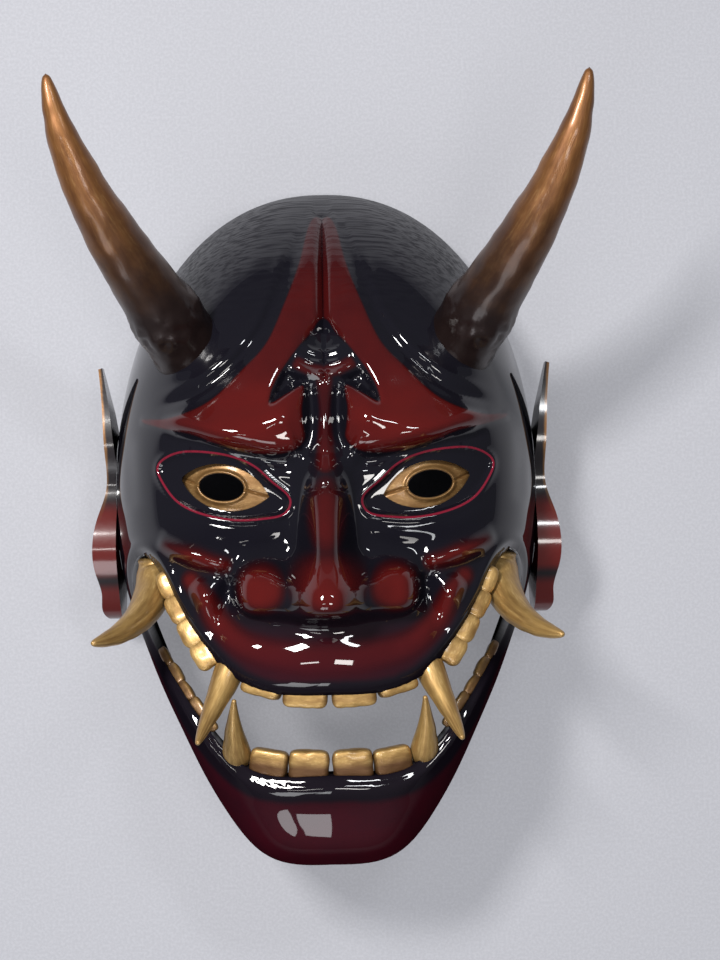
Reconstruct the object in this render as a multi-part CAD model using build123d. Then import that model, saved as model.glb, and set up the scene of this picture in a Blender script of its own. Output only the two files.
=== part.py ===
from build123d import *
import math
import os

os.makedirs("parts", exist_ok=True)

# A horned demon mask of the noh kind, lying face up. Millimetres.
# X is the wearer's left to right across the face, +Y runs up to the crown, +Z stands out of the face.
# z = 0 is the plane of the rim that the mask rests on.

# --- carved shell: rim outline and dome
half_width = 83.5        # rim at the temples
crown_reach = 122.0      # rim at the crown
chin_reach = 138.5       # rim at the chin
jaw_pinch = 0.052        # how far the cheeks are drawn in above the jaw
face_depth = 93.0        # dome over the brow
muzzle_rise = 12.0       # the muzzle stands this much further out
muzzle_y = -66.0
muzzle_spread = 24.0
wall = 4.5
gum_depth = 5.5          # the wall is this much deeper round the mouth, where the teeth sit
gum_width = 9.0
end_cut = 0.3            # the loft's first and last sections lie this far inside the rim
end_crowding = 0.85      # 1 crowds the sections at crown and chin, 0 spaces them evenly
skirt = 6.0              # the loft is carried this far below the rim plane, then cut there
fade_level = 0.45        # relief dies out where the dome is lower than this share of its depth

# --- nose
nose_root_y = 14.0
nose_tip_y = -30.0
nose_rise = 29.0         # tip above the dome
nose_bridge_width = 8.0
nose_tip_width = 12.5
nostril_x = 22.5
nostril_rise = 13.0

# --- eyes
eye_x = 35.4
eye_y = 4.2
eye_length = 32.0        # gilt plate that shows between the lids, corner to corner
eye_height = 16.0
eye_slant = 12.5         # degrees, outer corner up
pupil_length = 16.0
pupil_height = 9.6
pupil_shift = 1.2        # the pupil sits this far outward of the middle
lid_lap = 2.5            # the plate reaches this far behind the lids
eye_plate = 2.4
eye_sphere = 44.0        # radius of the domed front
eye_drop = 2.95          # top of the dome under the skin
eye_lean = 14.0          # degrees, the dome faces outward

# --- mouth opening, right half from the middle of the upper lip round to the middle of the lower lip
mouth_half = [(0, -66.5), (26, -64.2), (43.5, -51), (55, -35), (61.5, -23), (66.5, -19.5), (71, -24),
              (72, -32), (68, -45), (53, -66.5), (40.5, -83), (28, -94), (0, -96)]

# --- horns
horn_base_x = 48.6
horn_base_y = 56.0
horn_tip_x = 88.0
horn_tip_y = 137.6
horn_tip_z = 126.0
horn_radius = 13.6
horn_tip_radius = 1.0
tenon_radius = 7.0
tenon_length = 16.0

# --- ears
ear_stand = 5.9          # how far the ear stands out past the rim
ear_root = 3.0           # the ear starts this far inside the rim, and is cut to the head
ear_tab_y = -12.0
ear_tab_z = 17.0
ear_tab_height = 16.0
ear_tab_depth = 5.0
ear_tab_reach = 9.0

# --- teeth
tooth_gap = 0.9
tooth_thick = 5.2
tooth_root = 3.0
incisor_height = 6.0
lower_incisor_height = 8.8
side_tooth_height = 5.2
lower_side_tooth_height = 4.4
tusk_radius = 8.5
fang_radius = 5.8
lower_fang_radius = 4.6
root_tuck = 0.4          # share by which tusk and fang roots narrow inside the wall
tusk_root = 10.8         # depth of each root under the skin
fang_root = 10.0
lower_fang_root = 7.3
fang_tip_radius = 0.8

# --- cord holes and clearances
cord_hole_radius = 2.2
cord_hole_y = 42.0
cord_hole_z = 12.0
cord_hole_turn = 12.0    # degrees, square to the temple
seat = 0.2               # clearance where one piece sits in another


def rim_radius(angle):
    """Radius of the rim, angle in degrees from the crown."""
    upper = angle < 90
    reach = crown_reach if upper else chin_reach
    power = 2.15 if upper else 2.1
    across = abs(math.sin(math.radians(angle))) / half_width
    along = abs(math.cos(math.radians(angle))) / reach
    oval = (across ** power + along ** power) ** (-1 / power)
    return oval * (1 - jaw_pinch * math.exp(-((angle - 132) / 17.5) ** 2))


def dome_share(angle):
    """Exponents of the dome's section along one ray: full and square at the chin, round at the crown."""
    if angle < 90:
        turned = math.sin(math.radians(angle))
        return 2 + 2 * turned, 0.6 - 0.1 * turned
    past = ((angle - 90) / 90) ** 2
    return 4 + 4 * past, 0.5 - 0.25 * past


def depth(x, y):
    return face_depth + muzzle_rise * math.exp(-((y - muzzle_y) / muzzle_spread) ** 2 - (x / 45) ** 2)


def bump(x, y, middle, spread, turn=0.0, flat=1.0):
    """1 at the middle and 0 far out; both sides of the face get it."""
    dx = abs(x) - middle[0]
    dy = y - middle[1]
    c = math.cos(math.radians(turn))
    s = math.sin(math.radians(turn))
    along = (dx * c + dy * s) / spread[0]
    across = (dy * c - dx * s) / spread[1]
    return math.exp(-(along * along + across * across) ** flat)


def nose(x, y):
    """A wedge that climbs and widens from root to tip, with the wings beside the tip."""
    climb = min(1.0, max(0.0, (nose_root_y + 4 - y) / (nose_root_y + 4 - nose_tip_y)))
    width = nose_bridge_width + (nose_tip_width - nose_bridge_width) * climb ** 3
    under = 1 / (1 + math.exp((nose_tip_y - 7.5 - y) / 1.8))
    wedge = nose_rise * climb ** 0.9 * under * math.exp(-abs(x / width) ** 2.6)
    wings = nostril_rise * bump(x, y, (nostril_x, nose_tip_y - 0.5), (9.5, 8.5), flat=1.8)
    return wedge + wings


def eye_hollow(x, y):
    return -6.5 * bump(x, y, (eye_x + 0.6, eye_y), (26, 11.5), eye_slant)


# forms carved on the outside: rise, middle, reach along and across, turn in degrees
carvings = [
    (4.5, (eye_x + 0.6, eye_y), (18, 9.5), eye_slant),           # eyeball under the lids
    (5.5, (23, 25), (15, 6.5), -10),                             # inner brow
    (3.5, (47, 27), (14, 5), -8),                                # outer brow
    (3.5, (50, -17), (17, 5), 8),                                # cheek
    (-3.0, (34.5, -35), (3.8, 11), 18),                          # fold beside the nose
    (2.5, (43, -34), (4.5, 11), 28),                             # ridge outside that fold
    (2.6, (0, 38), (4.5, 17), 0),                                # stem between the brows
    (-3.5, (12, 39), (7, 6), 0),                                 # hook hollow over the brow
    (2.4, (0, -101), (34, 4.5), 0),                              # lower lip
    (-1.5, (0, -109), (26, 4), 0),                               # fold under the lip
    (2.5, (0, -120), (20, 8), 0),                                # chin
    (2.0, (horn_base_x, horn_base_y), (17, 17), 0),              # swelling round the horn
]

# broad forms of the inside
hollow_carvings = [
    (12.0, (0, nose_tip_y + 3), (9, 9), 0),                      # behind the nose
    (-3.4, (12, 40), (9, 8), 0),                                 # behind the hook hollow
    (-1.5, (35, -37), (6, 10), 18),                              # behind the fold beside the nose
]


def carved(x, y, forms):
    return sum(rise * bump(x, y, middle, reach, turn) for rise, middle, reach, turn in forms)


def relief(x, y):
    """Carving over the outside of the dome."""
    return nose(x, y) + eye_hollow(x, y) + carved(x, y, carvings)


def mouth_points():
    right = [(x, y) for x, y in mouth_half]
    return right + [(-x, y) for x, y in reversed(right[1:-1])]


def mouth_gap(x, y):
    """Distance from the edge of the mouth opening."""
    ring = mouth_points()
    nearest = 1e9
    for (ax, ay), (bx, by) in zip(ring, ring[1:] + ring[:1]):
        run = (bx - ax) ** 2 + (by - ay) ** 2
        share = min(1.0, max(0.0, ((x - ax) * (bx - ax) + (y - ay) * (by - ay)) / run))
        nearest = min(nearest, math.hypot(ax + share * (bx - ax) - x, ay + share * (by - ay) - y))
    return nearest


def hollow_relief(x, y):
    """The inside follows only the broad forms, and is thicker round the mouth."""
    gum = gum_depth * math.exp(-(mouth_gap(x, y) / gum_width) ** 2)
    return eye_hollow(x, y) + carved(x, y, hollow_carvings) - gum


def fade(level):
    share = min(1.0, level / fade_level)
    return share * share * (3 - 2 * share)


def height(x, y, inset=0.0, carving=relief):
    """Height of the outer face, or with an inset that of the hollow inside it."""
    angle = math.degrees(math.atan2(abs(x), y))
    power, root = dome_share(angle)
    share = min(1.0, math.hypot(x, y) / (rim_radius(angle) - inset))
    level = (1 - share ** power) ** root
    return (depth(x, y) - inset) * level + fade(level) * carving(x, y)


def rim_half_width(y, inset=0.0):
    """Half width of the rim at y, found by halving."""
    low = 0.0
    high = 1.1 * half_width
    for _ in range(40):
        middle = (low + high) / 2
        inside = math.hypot(middle, y) < rim_radius(math.degrees(math.atan2(middle, y))) - inset
        low, high = (middle, high) if inside else (low, middle)
    return low


def even_places(y, inset, count):
    """Places across half a section, evenly spaced along the plain dome."""
    samples = 160
    half = rim_half_width(y, inset)
    places = [half * math.sin(math.pi / 2 * k / samples) for k in range(samples + 1)]
    levels = [height(x, y, inset, plain) for x in places[:-1]] + [0.0]
    lengths = [0.0]
    for k in range(samples):
        lengths.append(lengths[-1] + math.hypot(places[k + 1] - places[k], levels[k + 1] - levels[k]))
    even = []
    k = 1
    for i in range(count):
        target = lengths[-1] * i / count
        while lengths[k] < target:
            k += 1
        part = (target - lengths[k - 1]) / (lengths[k] - lengths[k - 1])
        even.append(places[k - 1] + part * (places[k] - places[k - 1]))
    return even + [half]


def plain(x, y):
    return 0.0


def section(y, inset, carving, count):
    """Closed section across the face at one y, carried below the rim plane."""
    right = even_places(y, inset, count)
    arch = [(x, height(x, y, inset, carving)) for x in right[:-1]] + [(right[-1], 0.0)]
    arch = [(-x, z) for x, z in reversed(arch[1:])] + arch
    points = [Vector(x, y, z) for x, z in arch]
    spacing = [i / (len(points) - 1) for i in range(len(points))]
    down = Vector(0, 0, -skirt)
    curve = Edge.make_spline(points, parameters=spacing)
    sides = [points[-1], points[-1] + down, points[0] + down, points[0]]
    return Wire([curve] + [Edge.make_line(a, b) for a, b in zip(sides, sides[1:])])


def face_body(rows, count, inset=0.0, carving=relief):
    """Solid under the face, lofted through sections that crowd together at crown and chin."""
    top = crown_reach - inset - end_cut
    bottom = -chin_reach + inset + end_cut
    sections = []
    for j in range(rows + 1):
        even = 2 * j / rows - 1
        share = end_crowding * math.sin(math.pi / 2 * even) + (1 - end_crowding) * even
        y = (top + bottom) / 2 + share * (top - bottom) / 2
        sections.append(section(y, inset, carving, count))
    return Solid.make_loft(sections)


# --- openings

def mirrored(shape):
    return mirror(shape, about=Plane.YZ)


def mouth_cutter():
    ring = Spline(*mouth_points(), periodic=True)
    return extrude(make_face(Wire([ring.edge()])), 200)


def almond(grow):
    """Eye outline: two arcs that meet in points at the corners."""
    half = eye_length / 2 + 1.6 * grow
    rise = eye_height / 2 + grow
    upper = ThreePointArc((-half, 0), (0, rise), (half, 0))
    lower = ThreePointArc((half, 0), (0, -rise), (-half, 0))
    return Rot(0, 0, eye_slant) * make_face(Wire([upper.edge(), lower.edge()]))


def eye_place():
    return Pos(eye_x, eye_y, 0)


def eye_top():
    return height(eye_x, eye_y) - eye_drop


def eye_ball(radius):
    lean = math.radians(eye_lean)
    inward = Vector(-math.sin(lean), 0, -math.cos(lean)) * eye_sphere
    return Pos(Vector(eye_x, eye_y, eye_top()) + inward) * Sphere(radius)


def pupil():
    hole = extrude(Ellipse(pupil_length / 2, pupil_height / 2), 200)
    return eye_place() * (Rot(0, 0, eye_slant / 2) * (Pos(pupil_shift, 0, 0) * hole))


def eye_seat():
    """Opening between the lids, and the domed seat behind them that the plate goes into."""
    opening = eye_place() * extrude(almond(0), 200)
    pocket = eye_place() * extrude(almond(lid_lap + seat), 200)
    return opening + (pocket & eye_ball(eye_sphere + seat))


def eye_plate_solid():
    blank = eye_place() * extrude(almond(lid_lap), 200)
    dome = eye_ball(eye_sphere) - eye_ball(eye_sphere - eye_plate)
    front = Pos(0, 0, eye_top() - eye_length / 2) * Box(400, 400, 100, align=(Align.CENTER, Align.CENTER, Align.MIN))
    return (blank & dome & front) - pupil()


# --- horns, tusks and fangs

def bezier(points, t):
    a, b, c, d = (Vector(p) for p in points)
    return a * (1 - t) ** 3 + b * (3 * t * (1 - t) ** 2) + c * (3 * t * t * (1 - t)) + d * t ** 3


def bezier_direction(points, t):
    a, b, c, d = (Vector(p) for p in points)
    return (b - a) * (1 - t) ** 2 + (c - b) * (2 * t * (1 - t)) + (d - c) * t ** 2


def tapered(points, base, tip, swell, rounds, grow=0.0, tuck=0.0):
    """Round horn along a curve; swell under 1 keeps it thick for longer, tuck narrows its root."""
    rings = []
    for k in range(rounds + 1):
        t = k / rounds
        radius = tip + (base - tip) * (1 - t) ** swell * (1 - tuck * math.exp(-(t / 0.16) ** 2)) + grow
        turned = Plane(origin=bezier(points, t), x_dir=(1, 0, 0), z_dir=bezier_direction(points, t))
        rings.append(turned.location * Circle(radius).wire())
    horn = Solid.make_loft(rings)
    return horn + Pos(bezier(points, 1)) * Sphere(tip + grow)


def horn_curve():
    tip = (horn_tip_x, horn_tip_y, horn_tip_z)
    foot = horn_foot()
    return [foot, (foot[0] + 9.4, foot[1] + 25, foot[2] + 30), (tip[0] - 6, tip[1] - 32, tip[2] - 6), tip]


def horn_foot():
    """Start of the horn's centre line, a little under the skin."""
    return (horn_base_x, horn_base_y - 2, height(horn_base_x, horn_base_y) - 8)


def horn_tenon(grow):
    foot = horn_foot()
    along = bezier_direction(horn_curve(), 0)
    start = Plane(origin=foot, z_dir=along).offset(-tenon_length / 2)
    return start.location * Cylinder(tenon_radius + grow, tenon_length + 2 * grow,
                                     align=(Align.CENTER, Align.CENTER, Align.MIN))


def rooted(x, y, depth_under, steps):
    """Curve that starts under the skin; steps are measured from its start."""
    foot = (x, y, height(x, y) - depth_under)
    return [foot] + [tuple(f + s for f, s in zip(foot, step)) for step in steps]


def tusk_curve():
    return rooted(64.5, -19.5, tusk_root, [(-5.1, -14, -7), (1.5, -27.5, 28), (14, -27.3, 44)])


def fang_curve():
    return rooted(32, -52, fang_root, [(3, -10, 3), (10, -23, 13), (11.8, -28, 25)])


def lower_fang_curve():
    return rooted(33.4, -95, lower_fang_root, [(0.6, 7, 6), (1, 17, 12), (-0.8, 26.5, 17)])


# --- ears

def ear_band():
    """The ear seen from the front: a blade that flares at the tip and swells above the lobe."""
    out = half_width + ear_stand
    root = half_width - ear_root
    outer = [(out - 1.9, 50.5), (out - 3.6, 36), (out - 4.6, 18), (out - 4.4, 3), (out - 1.6, -7),
             (out, -17), (out - 0.6, -28), (out - 2.2, -37), (out - 1.8, -43), (out - 4, -47)]
    curve = Spline(*outer)
    rest = Polyline(outer[-1], (root, -47), (root, 14), (out - 6.6, 34), (out - 3.4, 51), outer[0])
    return extrude(make_face(Wire(curve.edges() + rest.edges())), 60)


def ear_side():
    """The ear seen from the side, as y and z."""
    ring = [(52, 29), (38, 33), (18, 35), (4, 32), (-8, 37), (-22, 39), (-35, 33), (-46, 24),
            (-46, 15), (-34, 9), (-10, 6), (14, 9), (36, 19)]
    face = make_face(Wire([Spline(*ring, periodic=True).edge()]))
    return extrude(Plane.YZ.location * face, 120)


def ear_hollows():
    """The bowl of the ear and the groove up to its tip."""
    out = half_width + ear_stand
    bowl = Pos(out + 1.5, -20, 22) * scale(Sphere(1), by=(4.2, 13, 8))
    groove = Pos(out - 1.4, 22, 21) * scale(Sphere(1), by=(4.4, 24, 5))
    return bowl + groove


def ear_tab(grow):
    size = (ear_tab_reach, ear_tab_height + 2 * grow, ear_tab_depth + 2 * grow)
    return Pos(half_width + 1, ear_tab_y, ear_tab_z) * Box(*size, align=(Align.MAX, Align.CENTER, Align.CENTER))


def ear(body):
    blade = (ear_band() & ear_side()) - ear_hollows()
    return (blade - Pos(seat, 0, 0) * body) + ear_tab(0)


# --- front teeth

def tooth_row(start, end, count, drop):
    """Frames along a row on the edge of the mouth: x along the row, y into the mouth, z outward."""
    a = Vector(start[0], start[1], height(*start) - drop)
    b = Vector(end[0], end[1], height(*end) - drop)
    run = b - a
    pitch = run.length / count
    out = Vector(0, 0, 1)
    frames = []
    for k in range(count):
        middle = a + run * ((k + 0.5) / count)
        into = run.cross(out).normalized()
        frames.append(Plane(origin=middle, x_dir=run * -1, z_dir=into.cross(run)))
    return frames, pitch - tooth_gap


def tooth(frame, width, show, grow=0.0):
    """Rounded block; the last of it, the root, is let into the wall."""
    size = (width + 2 * grow, show + tooth_root + 2 * grow, tooth_thick + 2 * grow)
    block = Box(*size)
    if not grow:
        crown_edges = block.faces().sort_by(Axis.Y)[-1].edges()
        block = fillet(crown_edges, 1.5)
    return frame.location * (Pos(0, (show - tooth_root) / 2, 0) * block)


# rows on the right of the face: name, start, end, teeth, height that shows, depth under the skin
tooth_rows = [
    ("upper_incisor", (0.4, -66.4), (30, -63.4), 2, incisor_height, 4.4),
    ("upper_side_tooth", (39.8, -55.2), (56.3, -31.7), 4, side_tooth_height, 3.0),
    ("lower_incisor", (28.4, -93.9), (0.6, -95.8), 2, lower_incisor_height, 4.4),
    ("lower_side_tooth", (62.5, -53.5), (41.5, -81.8), 5, lower_side_tooth_height, 4.6),
]


def teeth():
    """Right-hand teeth by name, and the pockets that their roots go into."""
    made = {}
    pockets = []
    for name, start, end, count, show, drop in tooth_rows:
        frames, width = tooth_row(start, end, count, drop)
        for k, frame in enumerate(frames):
            made[f"{name}_{k + 1}"] = tooth(frame, width, show)
            pockets.append(tooth(frame, width, show, seat))
    return made, pockets


def fangs(grow=0.0):
    return {
        "tusk": tapered(tusk_curve(), tusk_radius, fang_tip_radius, 0.8, 9, grow, root_tuck),
        "upper_fang": tapered(fang_curve(), fang_radius, fang_tip_radius, 0.8, 8, grow, root_tuck),
        "lower_fang": tapered(lower_fang_curve(), lower_fang_radius, fang_tip_radius, 0.9, 6, grow),
    }


def cord_hole():
    """Drilled square through the wall at the temple."""
    drill = Rot(0, 0, cord_hole_turn) * (Rot(0, 90, 0) * Cylinder(cord_hole_radius, 4 * wall))
    return Pos(rim_half_width(cord_hole_y) - wall / 2, cord_hole_y, cord_hole_z) * drill


def both_sides(shape):
    return [shape, mirrored(shape)]


outer_body = face_body(60, 26) & Box(400, 400, 400, align=(Align.CENTER, Align.CENTER, Align.MIN))
hollow = face_body(34, 18, wall, hollow_relief)
right_teeth, tooth_pockets = teeth()

horn = tapered(horn_curve(), horn_radius, horn_tip_radius, 0.72, 8) - Pos(0, 0, seat) * outer_body
horn = horn + horn_tenon(0)

cutters = [eye_seat(), horn_tenon(seat), ear_tab(seat), cord_hole()] + tooth_pockets
cutters += list(fangs(seat).values())
shell = outer_body - hollow - mouth_cutter()
for cutter in cutters:
    for side in both_sides(cutter):
        shell = shell - side

right_pieces = {"horn": horn, "ear": ear(outer_body), "eye": eye_plate_solid(), **fangs(), **right_teeth}
pieces = {"mask_shell": shell}
for name, solid in right_pieces.items():
    pieces[f"{name}_right"], pieces[f"{name}_left"] = both_sides(solid)

for name, solid in pieces.items():
    export_step(solid, f"parts/{name}.step")
    print(name, round(solid.volume, 1), len(solid.solids()))
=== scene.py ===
import math

import bmesh
import bpy
import numpy as np
from mathutils import Matrix, Vector, noise


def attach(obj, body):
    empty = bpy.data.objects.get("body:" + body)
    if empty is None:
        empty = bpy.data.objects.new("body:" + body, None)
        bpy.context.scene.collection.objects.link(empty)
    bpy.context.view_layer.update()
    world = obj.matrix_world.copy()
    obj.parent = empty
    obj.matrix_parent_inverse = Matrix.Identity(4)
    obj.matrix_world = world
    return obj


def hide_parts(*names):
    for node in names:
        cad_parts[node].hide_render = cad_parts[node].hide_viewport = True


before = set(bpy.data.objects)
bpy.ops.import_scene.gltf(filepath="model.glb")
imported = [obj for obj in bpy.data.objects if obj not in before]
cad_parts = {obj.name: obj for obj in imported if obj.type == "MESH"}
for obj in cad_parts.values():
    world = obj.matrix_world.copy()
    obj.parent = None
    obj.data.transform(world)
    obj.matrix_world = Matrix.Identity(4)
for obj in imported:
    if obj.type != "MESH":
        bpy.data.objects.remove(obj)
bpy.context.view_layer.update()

# Sizes are in millimetres, in the frame of the CAD model: x across the face, y up to the crown, z out of it.
# Shapes are worked out for x above 0, on the right as the mask is looked at, and mirrored by taking abs(x).

millimetre = 0.001


# ---- camera, floor and light

viewing = {
    "eye": (1.6, 6.0, 600.0),       # where the camera stands
    "ahead": (0.02, 0.0, -1.0),
    "roll": 1.0,                    # degrees
    "lens": 55.125,
}

lighting = {
    "world": (0.80, 0.84, 0.92),
    "worldLevel": 0.13,
    # name, place, aim, size, watts, colour
    "lamps": [
        ("windowLamp", (-330, 330, 780), (0, 0, 60), (190, 120), 7.4, (1.0, 0.98, 0.96)),
        ("farLamp", (250, 420, 820), (0, 0, 60), (200, 60), 1.5, (0.95, 0.97, 1.0)),
        ("slitLamp", (-165, -60, 700), (0, -40, 60), (26, 150), 0.22, (1.0, 0.97, 0.94)),
        ("doorLamp", (125, -60, 700), (0, -40, 60), (90, 150), 0.8, (1.0, 0.97, 0.94)),
        ("leftPane", (-290, -650, 700), (0, -110, 80), (330, 400), 2.0, (0.95, 0.97, 1.0)),
        ("rightPane", (-50, -620, 700), (0, -110, 80), (90, 320), 0.45, (0.95, 0.97, 1.0)),
    ],
    "floorColour": (0.445, 0.45, 0.485),
    "floorGlow": (0.60, 0.605, 0.655),
    "floorGlowShare": 0.36,
    # metres on the table; a dark patch of painted shade on the table under the brow
    "paintedBrowShade": {"middle": 0.016, "half": (0.060, 0.056), "edge": (0.8, 1.3), "colour": (0.03, 0.03, 0.035)},
}


def addCamera():
    data = bpy.data.cameras.new("viewCamera")
    data.lens = viewing["lens"]
    data.clip_start, data.clip_end = 0.01, 20
    camera = bpy.data.objects.new("viewCamera", data)
    back = -Vector(viewing["ahead"]).normalized()
    turn = math.radians(viewing["roll"])
    up = Vector((math.sin(turn), math.cos(turn), 0))
    right = up.cross(back).normalized()
    up = back.cross(right)
    axes = Matrix((right, up, back)).transposed().to_4x4()
    camera.matrix_world = Matrix.Translation(Vector(viewing["eye"]) * millimetre) @ axes
    bpy.context.scene.collection.objects.link(camera)
    bpy.context.scene.camera = camera


def addLamps():
    for name, place, aim, size, watts, colour in lighting["lamps"]:
        data = bpy.data.lights.new(name, "AREA")
        data.shape = "RECTANGLE"
        data.size, data.size_y = size[0] * millimetre, size[1] * millimetre
        data.energy, data.color = watts, colour
        lamp = bpy.data.objects.new(name, data)
        lamp.location = Vector(place) * millimetre
        lamp.rotation_euler = (Vector(place) - Vector(aim)).to_track_quat("Z", "Y").to_euler()
        bpy.context.scene.collection.objects.link(lamp)
    world = bpy.data.worlds.new("paleRoom")
    world.use_nodes = True
    background = world.node_tree.nodes["Background"]
    background.inputs["Color"].default_value = (*lighting["world"], 1)
    background.inputs["Strength"].default_value = lighting["worldLevel"]
    bpy.context.scene.world = world


addCamera()
addLamps()
bpy.context.scene.view_settings.view_transform = "Standard"
print("camera and lamps placed")


# ---- shader maths

class Term:
    # a socket that takes part in sums
    def __init__(self, paint, socket):
        self.paint = paint
        self.socket = socket

    def __add__(self, other):
        return self.paint.sum("ADD", self, other)

    def __sub__(self, other):
        return self.paint.sum("SUBTRACT", self, other)

    def __rsub__(self, other):
        return self.paint.sum("SUBTRACT", other, self)

    def __mul__(self, other):
        return self.paint.sum("MULTIPLY", self, other)

    def __truediv__(self, other):
        return self.paint.sum("DIVIDE", self, other)

    def __abs__(self):
        return self.paint.sum("ABSOLUTE", self)

    __radd__ = __add__
    __rmul__ = __mul__


class Paint:
    # one material and the nodes in it
    def __init__(self, name):
        self.material = bpy.data.materials.new(name)
        self.material.use_nodes = True
        self.tree = self.material.node_tree
        self.tree.nodes.clear()

    def node(self, kind, settings=None, inputs=None, output=0):
        made = self.tree.nodes.new("ShaderNode" + kind)
        for key, value in (settings or {}).items():
            if key == "stops":
                ramp = made.color_ramp.elements
                while len(ramp) < len(value):
                    ramp.new(0.5)
                for element, (place, colour) in zip(ramp, value):
                    element.position, element.color = place, (*colour, 1)
            else:
                setattr(made, key, value)
        for key, value in (inputs or {}).items():
            if isinstance(value, Term):
                self.tree.links.new(value.socket, made.inputs[key])
            elif value is not None:
                made.inputs[key].default_value = value
        return Term(self, made.outputs[output])

    def sum(self, operation, first, second=None, clamp=False):
        return self.node("Math", {"operation": operation, "use_clamp": clamp}, {0: first, 1: second})

    def place(self):
        return self.node("TexCoord", output="Object")

    def axis(self, name):
        return self.node("SeparateXYZ", {}, {0: self.place()}, name)

    def attribute(self, name, output="Fac"):
        return self.node("Attribute", {"attribute_name": name}, output=output)

    def step(self, value, low, high):
        # 0 below low, 1 above high, smooth between
        settings = {"interpolation_type": "SMOOTHSTEP"}
        return self.node("MapRange", settings, {0: value, 1: low, 2: high, 3: 0.0, 4: 1.0})

    def grain(self, scale, detail=3.0, rough=0.5, stretch=None, where=None):
        # noise between 0 and 1; scale is in features per metre, or per millimetre of a brush attribute
        where = where or self.place()
        if stretch:
            where = self.node("Mapping", {}, {0: where, "Scale": stretch})
        inputs = {"Vector": where, "Scale": scale, "Detail": detail, "Roughness": rough}
        return self.node("TexNoise", {}, inputs)

    def blend(self, factor, first, second, kind="MIX"):
        settings = {"data_type": "RGBA", "blend_type": kind, "clamp_factor": True}
        ends = [end if isinstance(end, Term) else (*end, 1) for end in (first, second)]
        return self.node("Mix", settings, {0: factor, 6: ends[0], 7: ends[1]}, output=2)

    def bump(self, height, distance, strength):
        return self.node("Bump", {}, {"Strength": strength, "Distance": distance, "Height": height})

    def close(self, shader):
        # wires a shader to the material's output
        end = self.tree.nodes.new("ShaderNodeOutputMaterial")
        self.tree.links.new(shader.socket, end.inputs[0])
        return self.material

    def finish(self, inputs):
        return self.close(self.node("BsdfPrincipled", {}, inputs))


# ---- curves and distances

def smoothLine(points, count):
    # evenly spaced points on a Catmull-Rom curve through the given ones
    ends = np.array(points, float)
    ends = np.vstack([2 * ends[0] - ends[1], ends, 2 * ends[-1] - ends[-2]])
    spread = np.linspace(0, len(points) - 1, count)
    first = np.minimum(spread.astype(int), len(points) - 2)
    t = (spread - first)[:, None]
    a, b, c, d = (ends[first + k] for k in range(4))
    bend = 2 * a - 5 * b + 4 * c - d
    turn = 3 * b - a - 3 * c + d
    return 0.5 * (2 * b + (c - a) * t + bend * t ** 2 + turn * t ** 3)


def smoothRing(points, count):
    # closed cubic spline through the points, spaced by their distances
    ring = np.array(points, float)
    step = np.linalg.norm(np.roll(ring, -1, 0) - ring, axis=1)
    size = len(ring)
    rows = np.zeros((size, size))
    slopes = np.zeros((size, 2))
    for k in range(size):
        before, after = step[k - 1], step[k]
        following = (k + 1) % size
        rows[k, k - 1], rows[k, k], rows[k, following] = after, 2 * (before + after), before
        slopes[k] = 3 * (after * (ring[k] - ring[k - 1]) / before
                         + before * (ring[following] - ring[k]) / after)
    tangent = np.linalg.solve(rows, slopes)
    along = np.concatenate([[0], np.cumsum(step)])
    places = np.linspace(0, along[-1], count, endpoint=False)
    k = np.minimum(np.searchsorted(along, places, side="right") - 1, size - 1)
    h = step[k][:, None]
    t = ((places - along[k]) / step[k])[:, None]
    after = (k + 1) % size
    return ((2 * t ** 3 - 3 * t ** 2 + 1) * ring[k] + (t ** 3 - 2 * t ** 2 + t) * h * tangent[k]
            + (3 * t ** 2 - 2 * t ** 3) * ring[after] + (t ** 3 - t ** 2) * h * tangent[after])


def nearestOn(x, y, line, closed=False):
    # distance to a line of points, share of the way along it, nearest point, and side, positive on its left
    starts = line if closed else line[:-1]
    ends = np.roll(line, -1, 0) if closed else line[1:]
    best = np.full(x.shape, 1e9)
    share = np.zeros(x.shape)
    side = np.zeros(x.shape)
    near = np.zeros(x.shape + (2,))
    for k, (a, b) in enumerate(zip(starts, ends)):
        run = b - a
        t = np.clip(((x - a[0]) * run[0] + (y - a[1]) * run[1]) / (run @ run), 0, 1)
        px, py = a[0] + t * run[0], a[1] + t * run[1]
        gap = np.hypot(x - px, y - py)
        closer = gap < best
        best = np.where(closer, gap, best)
        share = np.where(closer, (k + t) / len(starts), share)
        side = np.where(closer, run[0] * (y - a[1]) - run[1] * (x - a[0]), side)
        near[closer] = np.stack([px, py], -1)[closer]
    return best, share, near, side


def gapTo(x, y, ring):
    # distance from a closed outline, negative inside it
    gap = nearestOn(x, y, ring, closed=True)[0]
    inside = np.zeros(x.shape, bool)
    for a, b in zip(ring, np.roll(ring, -1, 0)):
        if a[1] == b[1]:
            continue
        crosses = ((a[1] > y) != (b[1] > y)) & (x < (b[0] - a[0]) * (y - a[1]) / (b[1] - a[1]) + a[0])
        inside ^= crosses
    return np.where(inside, -gap, gap)


def ease(value, low, high):
    t = np.clip((value - low) / (high - low), 0, 1)
    return t * t * (3 - 2 * t)


# ---- the carved face: dome, features and fine forms

face = {
    "halfWidth": 83.5,              # middle to rim at the ears
    "crownReach": 122.0,            # middle to rim over the crown
    "crownPower": 2.15,             # 2 is an ellipse, more is squarer
    "chinReach": 136.5,
    "chinPower": 2.1,
    "chinCorners": 0.030,           # shares of the reach, as are the next two
    "jawPinch": 0.052,
    "waist": 0.047,
    "depth": 93.0,                  # rim to dome, before the carving
    "muzzle": 12,                   # further out round the mouth
    "wall": 4.5,
    "rays": 320,
    "rings": 146,
}

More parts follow.
